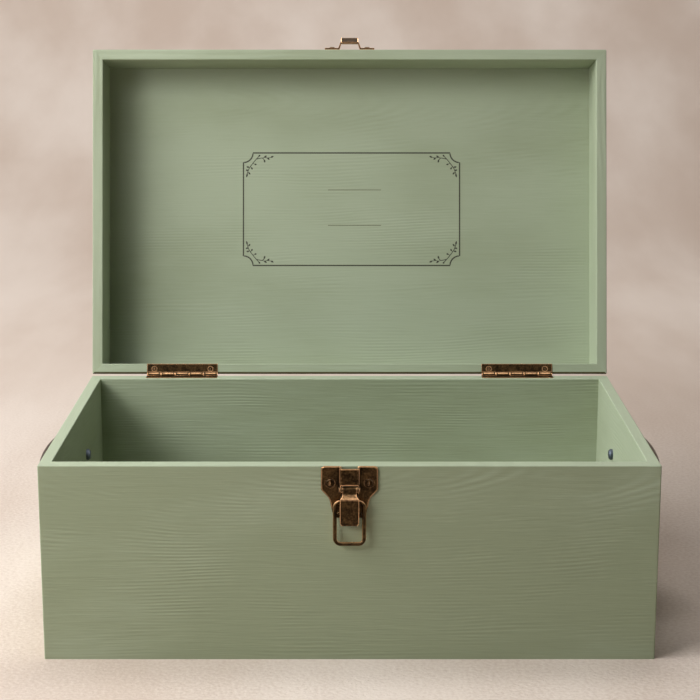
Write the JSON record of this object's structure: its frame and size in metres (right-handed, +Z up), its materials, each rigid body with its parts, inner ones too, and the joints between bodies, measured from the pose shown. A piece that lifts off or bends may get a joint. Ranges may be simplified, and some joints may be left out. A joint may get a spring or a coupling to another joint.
{
  "type": "keepsake box",
  "caption": "Painted wooden keepsake box with a hinged lid that stands open, a toggle latch on the front and a cup pull on each end.",
  "frame": {"origin": "middle of the underside, which rests on a table", "axes": "+X to the right seen from the latch, +Y from the latch to the hinges, +Z up"},
  "size_m": [0.42, 0.3484, 0.3683],
  "materials": {
    "painted_boards": "sage paint, brushed, satin",
    "painted_panels": "sage paint, brushed, satin",
    "bronzed_hinges": "antique bronze",
    "bronzed_latch": "antique bronze",
    "bronzed_wire": "antique bronze",
    "bronzed_handles": "antique bronze",
    "bronzed_screws": "antique bronze",
    "zinc_steel": "zinc plated"
  },
  "bodies": {
    "box": {"front_panel": "painted_boards", "back_panel": "painted_boards", "left_panel": "painted_boards", "right_panel": "painted_boards", "bottom_panel": "painted_panels", "bottom_pins": "zinc_steel", "hinge_leaf_body_left": "bronzed_hinges", "hinge_leaf_body_right": "bronzed_hinges", "hinge_pin_left": "bronzed_hinges", "hinge_pin_right": "bronzed_hinges", "hinge_screws_body": "bronzed_screws", "latch_plate": "bronzed_latch", "latch_pivot_pin": "bronzed_latch", "latch_plate_screws": "bronzed_screws", "side_handle_left": "bronzed_handles", "side_handle_right": "bronzed_handles", "handle_bolts_left": "zinc_steel", "handle_bolts_right": "zinc_steel"},
    "lid": {"lid_front_rail": "painted_boards", "lid_back_rail": "painted_boards", "lid_left_rail": "painted_boards", "lid_right_rail": "painted_boards", "lid_panel": "painted_panels", "hinge_leaf_lid_left": "bronzed_hinges", "hinge_leaf_lid_right": "bronzed_hinges", "hinge_screws_lid": "bronzed_screws", "strike_plate": "bronzed_latch", "strike_screws": "bronzed_screws"},
    "latch_lever": {"latch_lever": "bronzed_latch"},
    "latch_loop": {"latch_loop": "bronzed_wire"}
  },
  "joints": [
    {"name": "lid_hinge", "type": "hinge", "parent": "box", "child": "lid", "pos_m": [0, 0.1207, 0.1255], "axis": [-1, 0, 0], "range_deg": [-102.8, 0]},
    {"name": "latch_lever_pivot", "type": "hinge", "parent": "box", "child": "latch_lever", "pos_m": [0, -0.124, 0.111], "axis": [-1, 0, 0], "range_deg": [0, 90]},
    {"name": "latch_loop_swing", "type": "hinge", "parent": "latch_lever", "child": "latch_loop", "pos_m": [0, -0.1237, 0.1033], "axis": [-1, 0, 0], "range_deg": [0, 105]}
  ]
}
